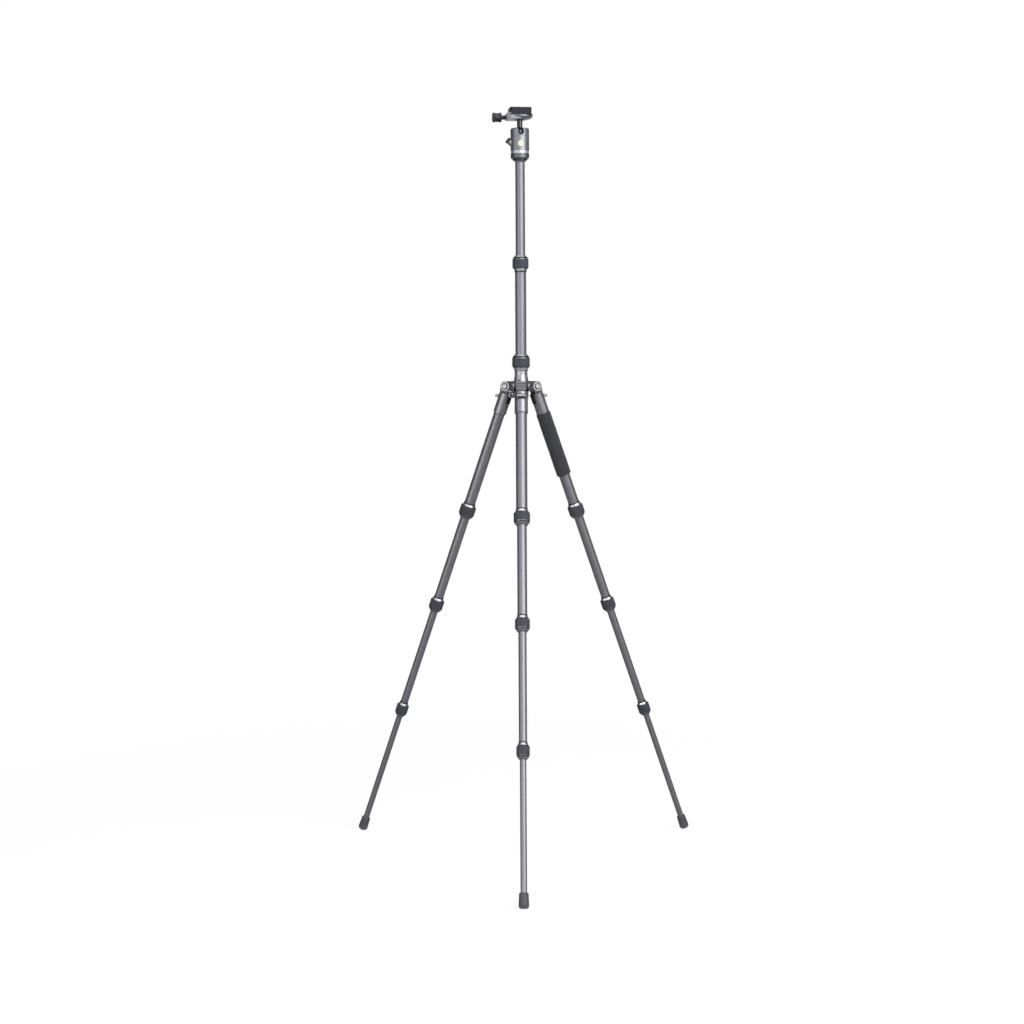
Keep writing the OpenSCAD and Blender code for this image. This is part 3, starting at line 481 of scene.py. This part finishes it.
def tab_marks(n, spot, colour, height):
    """On a pull tab: its lower half is painted dark, painted shade."""
    # Painted shade on the tab's lower half.
    lower = n.outside(n.step(n.split(spot)[2], -24.2, -23.4))
    return n.blend(n.product(lower, 0.75), colour, (0.05, 0.05, 0.056, 1)), height


def top_plate_marks(n, spot, colour, height):
    """On the column's top plate: the disc under the head is painted black as painted shade in the gap under
    the head, and the cone stays grey.
    """
    # Painted shade: the disc is painted near black.
    disc = n.step(n.split(spot)[2], -2.6, -2.4)
    return n.blend(disc, colour, (0.018, 0.018, 0.021, 1)), height


def disc_marks(n, spot, colour, height):
    """On the pale disc: a fine rim line."""
    x, y, z = n.split(spot)
    rim = n.band(n.length(x, n.minus(z, DISC_UP)), 4.7, 5.0, 0.06)
    return n.blend(n.product(rim, 0.35), colour, (0.4, 0.44, 0.3, 1)), n.minus(height, rim)


# The CAD nodes' materials


def dress(node, material):
    """Gives a CAD node its material."""
    mesh = nodes[node].data
    mesh.materials.clear()
    mesh.materials.append(material)


def dress_leg(side, place):
    """A leg's parts hang down its tube, so its locks' bright rings lie below their barrels."""
    tint = (0.3, 0.3, 0.325, 1)
    casting = cast_metal("casting_" + side, place, tint, metallic=0.65, rough=0.33, marks=casting_marks)
    dress(side + "_casting", casting)
    tint = (0.42, 0.43, 0.46, 1)
    tab = cast_metal("tab_" + side, place, tint, metallic=0.7, rough=0.3, marks=tab_marks)
    dress(side + "_angle_tab", tab)
    for size in range(len(TUBE_R)):
        dress(f"{side}_tube_{size + 1}", carbon(f"carbon_{side}_{size + 1}", place, size))
    for number, down in enumerate(LEG_LOCKS_DOWN, 1):
        at_lock = place @ moved(z=-down)
        ferrule = turned_metal(f"ferrule_{side}_{number}", at_lock, (0.6, 0.6, 0.64, 1), dark=(12.6, 17))
        dress(f"{side}_ferrule_{number}", ferrule)
        lock = lock_rubber(f"lock_{side}_{number}", at_lock, ring_side=-1, ring_from=10.6)
        dress(f"{side}_lock_{number}", lock)
    dress(side + "_foot", dark_plastic("foot_" + side, place, (0.088, 0.09, 0.1, 1), rough=0.55, grain=0.7))


def dress_column():
    """The column with its locks, the spider that carries the legs, and the plate under the head."""
    tint, worn = (0.42, 0.42, 0.455, 1), (0.75, 0.75, 0.78, 1)
    spider = cast_metal("spider_metal", COLUMN, tint, metallic=0.7, rough=0.34, worn=worn, marks=spider_marks)
    dress("spider", spider)
    tint = (0.6, 0.6, 0.63, 1)
    bolts = cast_metal("bolt_metal", COLUMN, tint, metallic=0.9, rough=0.26, speckle=0.4, marks=bolt_marks)
    dress("hinge_bolts", bolts)
    at_low, at_high = COLUMN @ moved(z=LOW_LOCK_UP), COLUMN @ moved(z=HIGH_LOCK_UP)
    dress("column_lock_low", lock_rubber("lock_column_low", at_low))
    dress("column_lock_high", lock_rubber("lock_column_high", at_high))
    dress("lower_column", carbon("carbon_column_low", COLUMN, 0))
    dress("upper_column", carbon("carbon_column_high", COLUMN, 1))
    ferrule = turned_metal("ferrule_column", at_high, (0.85, 0.85, 0.9, 1), dark=(-17, -12.6))
    dress("lower_column_ferrule", ferrule)
    tint = (0.2, 0.2, 0.215, 1)
    top_plate = cast_metal("top_plate_metal", HEAD, tint, metallic=0.4, rough=0.35, marks=top_plate_marks)
    dress("column_top_plate", top_plate)
    dress("bag_hook", dark_plastic("black_metal", COLUMN, (0.022, 0.022, 0.025, 1), rough=0.35, metallic=0.3))


def dress_head():
    """The ball head, from its base up to the camera screw."""
    dress("pan_base", cast_metal("base_metal", HEAD, (0.14, 0.142, 0.155, 1), marks=pan_marks))
    housing = cast_metal("housing_metal", HEAD, (0.275, 0.276, 0.31, 1), metallic=0.6, rough=0.38)
    dress("head_housing", housing)
    dress("ball_seat", dark_plastic("seat_nylon", HEAD, (0.3, 0.3, 0.28, 1)))
    tint, worn = (0.82, 0.88, 0.6, 1), (0.9, 0.92, 0.75, 1)
    disc = cast_metal("disc_lacquer", HEAD, tint, 0.0, rough=0.35, speckle=0.3, worn=worn, marks=disc_marks)
    dress("level_disc", disc)
    ball = dark_plastic("ball_metal", HEAD, (0.06, 0.06, 0.066, 1), rough=0.16, grain=1.2, metallic=0.9)
    dress("ball", ball)
    knob = dark_plastic("knob_black", HEAD, (0.015, 0.0148, 0.02, 1), rough=0.42)
    dress("ball_lock_knob", knob)
    dress("clamp_knob", knob)
    tint, worn = (0.22, 0.225, 0.26, 1), (0.45, 0.46, 0.5, 1)
    dress("clamp_body", cast_metal("clamp_metal", HEAD, tint, metallic=0.5, rough=0.36, worn=worn))
    tint, worn = (0.14, 0.145, 0.17, 1), (0.3, 0.31, 0.34, 1)
    dress("clamp_jaw", cast_metal("jaw_metal", HEAD, tint, metallic=0.4, rough=0.38, worn=worn))
    plate = dark_plastic("plate_anodised", HEAD, (0.012, 0.013, 0.022, 1), grain=2.2, specular=0.25)
    dress("camera_plate", plate)
    dress("camera_screw", turned_metal("screw_steel", HEAD, (0.56, 0.56, 0.57, 1)))


# Pieces made here


def swept(rows, closed):
    """Points and faces of an outline repeated row by row, closed into a ring or with a face at each end."""
    count = len(rows[0])
    points = [point for row in rows for point in row]
    faces = []
    for i in range(len(rows) if closed else len(rows) - 1):
        here, after = i * count, (i + 1) % len(rows) * count
        for j in range(count):
            k = (j + 1) % count
            faces.append((here + j, here + k, after + k, after + j))
    if not closed:
        faces += [tuple(range(count)), tuple(range(len(points) - count, len(points)))]
    return points, faces


def placed(name, data):
    """A new object in the scene."""
    made = bpy.data.objects.new(name, data)
    scene.collection.objects.link(made)
    return made


def mesh_piece(name, place, rows, closed, material, body):
    """A swept piece that rides on a body. Its points are millimetres in the frame place; a ring is smooth."""
    points, faces = swept(rows, closed)
    mesh = bpy.data.meshes.new(name)
    mesh.from_pydata([place @ (Vector(point) * MM) for point in points], [], faces)
    mesh.validate()
    mesh.update()
    work = bmesh.new()
    work.from_mesh(mesh)
    bmesh.ops.recalc_face_normals(work, faces=work.faces)
    work.to_mesh(mesh)
    work.free()
    mesh.materials.append(material)
    mesh.polygons.foreach_set("use_smooth", [closed] * len(mesh.polygons))
    piece = placed(name, mesh)
    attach(piece, body)
    return piece


def round_z(radius, angle, height):
    """A point at a radius and an angle, in radians, round Z."""
    return (radius * math.cos(angle), radius * math.sin(angle), height)


# The foam sleeve, with heights up the leg's frame
SLEEVE_IN, SLEEVE_R, SLEEVE_TOP, SLEEVE_END = 10.05, 13.25, -52.2, -172.6
SLEEVE_SHOULDER = 1.6


def sleeve_profile():
    """The sleeve's half section as radius and height pairs: a side with round shoulders, and the bore."""
    steps = 60
    length = SLEEVE_TOP - SLEEVE_END
    downs = [length * i / steps for i in range(steps + 1)]
    for near_end in (0.15, 0.4, 0.8, 1.3):
        downs += [near_end, length - near_end]
    outer = []
    for down in sorted(downs):
        from_end = max(0, min(down, length - down))
        inside = max(0, SLEEVE_SHOULDER - from_end)
        drop = SLEEVE_SHOULDER - math.sqrt(SLEEVE_SHOULDER**2 - inside**2)
        outer.append((SLEEVE_R - 0.9 * drop, SLEEVE_TOP - down))
    return outer + [(SLEEVE_IN, SLEEVE_END), (SLEEVE_IN, SLEEVE_TOP)]


def uneven(radius, height, angle):
    """The foam's outer radius with slow and shallow dents; the bore stays round."""
    if radius <= SLEEVE_IN:
        return radius
    wave = 0.10 * math.sin(0.11 * height + 2 * angle)
    wave += 0.07 * math.sin(0.31 * height - 3 * angle + 1)
    wave += 0.04 * math.sin(0.9 * height + 5 * angle)
    return radius - 0.12 + wave * min(1, (radius - SLEEVE_IN) / 2)


def foam_sleeve():
    """The foam grip on the right leg: a soft sleeve with rounded ends."""
    segments = 72
    profile = sleeve_profile()
    rows = []
    for i in range(segments):
        angle = 2 * math.pi * i / segments
        rows.append([round_z(uneven(radius, height, angle), angle, height) for radius, height in profile])
    foam = foam_surface("foam", LEGS["right"])
    sleeve = mesh_piece("foam_sleeve", LEGS["right"], rows, True, foam, "right_leg")
    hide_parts("foam_grip")


def fold_pad(side, place):
    """A black rubber pad on the inner side of a casting, where the legs meet when they are folded."""
    inner_r, outer_r, top, end, corner = 11.82, 12.35, -13.3, -30.4, 0.3
    steps, half_turn = 24, 36
    outline = [
        (inner_r, top),
        (outer_r - 0.25, top),
        (outer_r, top - corner),
        (outer_r, end + corner),
        (outer_r - 0.25, end),
        (inner_r, end),
    ]
    rows = []
    for i in range(steps + 1):
        angle = math.radians(180 - half_turn + 2 * half_turn * i / steps)
        drop = 0.25 if i in (0, steps) else 0.0
        rows.append([round_z(max(inner_r, radius - drop), angle, height) for radius, height in outline])
    rubber = dark_plastic("fold_pad_" + side, place, (0.02, 0.02, 0.022, 1), rough=0.7, grain=0.9)
    mesh_piece("fold_pad_" + side, place, rows, False, rubber, side + "_leg")


def plate_pad(name, side, rubber):
    """A rubber pad with cross ridges in one of the camera plate's two recesses."""
    plate_edge, recess_half_w = 2.6, 4.5
    half_w, half_l, ridges = 4.35, 17.25, 22
    base, top, valley, shoulder = PLATE_TOP - 0.78, PLATE_TOP + 0.25, 0.3, 0.25
    first, pitch = 0.5 - half_l, (2 * half_l - 1) / ridges
    outline = [(-half_l, base), (-half_l, top - shoulder)]
    for i in range(ridges):
        start = first + i * pitch
        ridge = ((0, valley), (0.25, 0), (0.6, 0), (0.85, valley))
        outline += [(start + share * pitch, top - below) for share, below in ridge]
    outline += [(half_l, top - shoulder), (half_l, base)]
    centre = side * (PLATE_HALF_W - plate_edge - recess_half_w)
    rows = [[(centre + end * half_w, y, z) for y, z in outline] for end in (-1, 1)]
    mesh_piece(name, HEAD, rows, False, rubber, "plate")


# Light and camera: studio lengths are metres, from the foot of the column's axis


def by_column(x, y, z):
    return Vector((x, COLUMN_Y + y, z))


def camera():
    """The photograph's own view: a long lens a little above the hinges, tipped down four degrees."""
    pitch, roll, yaw = (math.radians(angle) for angle in (EYE_PITCH, EYE_ROLL, EYE_YAW))
    sp, cp, sy, cy = math.sin(pitch), math.cos(pitch), math.sin(yaw), math.cos(yaw)
    forward, right, up = Vector((sy * cp, cy * cp, -sp)), Vector((cy, -sy, 0)), Vector((sp * sy, sp * cy, cp))
    image_right = math.cos(roll) * right - math.sin(roll) * up
    image_up = math.sin(roll) * right + math.cos(roll) * up
    turn = Matrix((image_right, image_up, -forward)).transposed().to_4x4()
    data = bpy.data.cameras.new("camera")
    data.sensor_width = SENSOR_W
    data.lens = SENSOR_W * FOCAL_PX / IMAGE_PX
    data.clip_end = 200
    eye = placed("camera", data)
    eye.matrix_world = Matrix.Translation(by_column(0, -EYE_AWAY * MM, EYE_UP * MM)) @ turn
    scene.camera = eye


def lamp(name, place, target, size, power, glossy=True):
    """A soft rectangular lamp that the camera doesn't see."""
    data = bpy.data.lights.new(name, "AREA")
    data.shape = "RECTANGLE"
    data.size, data.size_y = size
    data.energy = power
    light = placed(name, data)
    light.location = place
    light.rotation_euler = (target - place).to_track_quat("-Z", "Y").to_euler()
    light.visible_camera = False
    light.visible_glossy = glossy


def lamps():
    """A large soft key from the right, a low fill, a top light and two rims that gloss doesn't show."""
    middle, low_middle = by_column(0, 0, 0.7), by_column(0, 0, 0.6)
    lamp("key", by_column(1.9, -2.6, 2.3), middle, (2.6, 2.8), 92)
    lamp("front_fill", by_column(-2.0, -2.3, 0.4), low_middle, (1.5, 1.0), 15)
    lamp("top", by_column(0.2, -0.4, 3.4), middle, (2.4, 2.4), 18)
    lamp("back_left", by_column(-2.0, 2.4, 1.8), middle, (1.2, 1.8), 7, glossy=False)
    lamp("back_right", by_column(2.0, 2.4, 1.8), middle, (1.2, 1.8), 7, glossy=False)


def seen(n):
    """1 for a ray that shows the background: from the camera, off a gloss or through glass."""
    paths = ("Is Camera Ray", "Is Glossy Ray", "Is Transmission Ray")
    return n.most(*(n.add("LightPath", out=path) for path in paths))


def backdrop():
    """A world that is white where it is seen, and a low even fill where it lights."""
    scene.world = bpy.data.worlds.new("studio")
    n = Nodes(scene.world)
    fill = n.add("Background", Color=(0.95, 0.97, 1, 1), Strength=0.17)
    shown = n.add("Background", Color=(1, 1, 1, 1), Strength=1.0)
    n.finish(n.add("MixShader", i0=seen(n), i1=fill, i2=shown), "OutputWorld")


def floor():
    """Pale paper: where it is seen it keeps the object's shadow, and it fades to plain white away from it."""
    white = (1, 1, 1, 1)
    shadow_level, near_level = 0.22, 0.87
    fade_from, fade_to = 0.8, 1.6
    radius, segments, gap = 40, 64, 0.0002
    n = new_nodes("floor_paper")
    spot = n.add("TexCoord", out="Object")
    paper = n.blend(n.noise(spot, 3.0), (0.78, 0.78, 0.78, 1), (0.82, 0.82, 0.82, 1))
    shadowed = n.add("BsdfDiffuse", Color=(shadow_level, shadow_level, shadow_level, 1))
    near = n.add("AddShader", i0=shadowed, i1=n.add("Emission", Color=white, Strength=near_level))
    from_middle = n.add("VectorMath", out="Value", settings={"operation": "LENGTH"}, i0=spot)
    far = n.add("Emission", Color=white, Strength=1.0)
    shown = n.add("MixShader", i0=n.step(from_middle, fade_from, fade_to), i1=near, i2=far)
    n.finish(n.add("MixShader", i0=seen(n), i1=n.add("BsdfDiffuse", Color=paper), i2=shown))
    mesh = bpy.data.meshes.new("floor")
    work = bmesh.new()
    bmesh.ops.create_circle(work, cap_ends=True, segments=segments, radius=radius)
    work.to_mesh(mesh)
    work.free()
    mesh.materials.append(n.owner)
    sheet = placed("floor", mesh)
    sheet.location = by_column(0, 0, -gap)


def card_paper(name, level):
    """Matt card of one grey level, slightly uneven."""
    n = new_nodes(name)
    tone = n.lerp(n.noise(n.add("TexCoord", out="Object"), 6.0, 3.0), 0.8 * level, 1.2 * level)
    return n.surface(Base_Color=n.add("CombineXYZ", X=tone, Y=tone, Z=tone), Roughness=0.95)


def card(name, corners, paper):
    """A card that only reflections see."""
    mesh = bpy.data.meshes.new(name)
    mesh.from_pydata(corners, [], [(0, 1, 2, 3)])
    mesh.materials.append(paper)
    sheet = placed(name, mesh)
    sheet.location = by_column(0, 0, 0)
    sheet.visible_camera = sheet.visible_diffuse = sheet.visible_shadow = sheet.visible_transmission = False


def cards():
    """Dark cards at both sides, which draw the tubes' dark edges, and a grey one low down."""
    away, front, back, top = 1.6, -0.45, 3, 3.2
    black, grey = card_paper("card_black", 0.02), card_paper("card_grey", 0.35)
    for name, x in (("card_left", -away), ("card_right", away)):
        card(name, [(x, front, 0), (x, back, 0), (x, back, top), (x, front, top)], black)
    half, rise = 3, 0.01
    corners = ((-half, -half), (half, -half), (half, half), (-half, half))
    card("card_low", [(x, y, rise) for x, y in corners], grey)


for side, place in LEGS.items():
    dress_leg(side, place)
dress_column()
dress_head()
foam_sleeve()
for side, place in LEGS.items():
    fold_pad(side, place)
pad_rubber = dark_plastic("pad_rubber", HEAD, (0.03, 0.03, 0.032, 1), rough=0.7, grain=0.9)
plate_pad("plate_pad_left", -1, pad_rubber)
plate_pad("plate_pad_right", 1, pad_rubber)

camera()
backdrop()
floor()
cards()
lamps()
scene.view_settings.view_transform = "Standard"
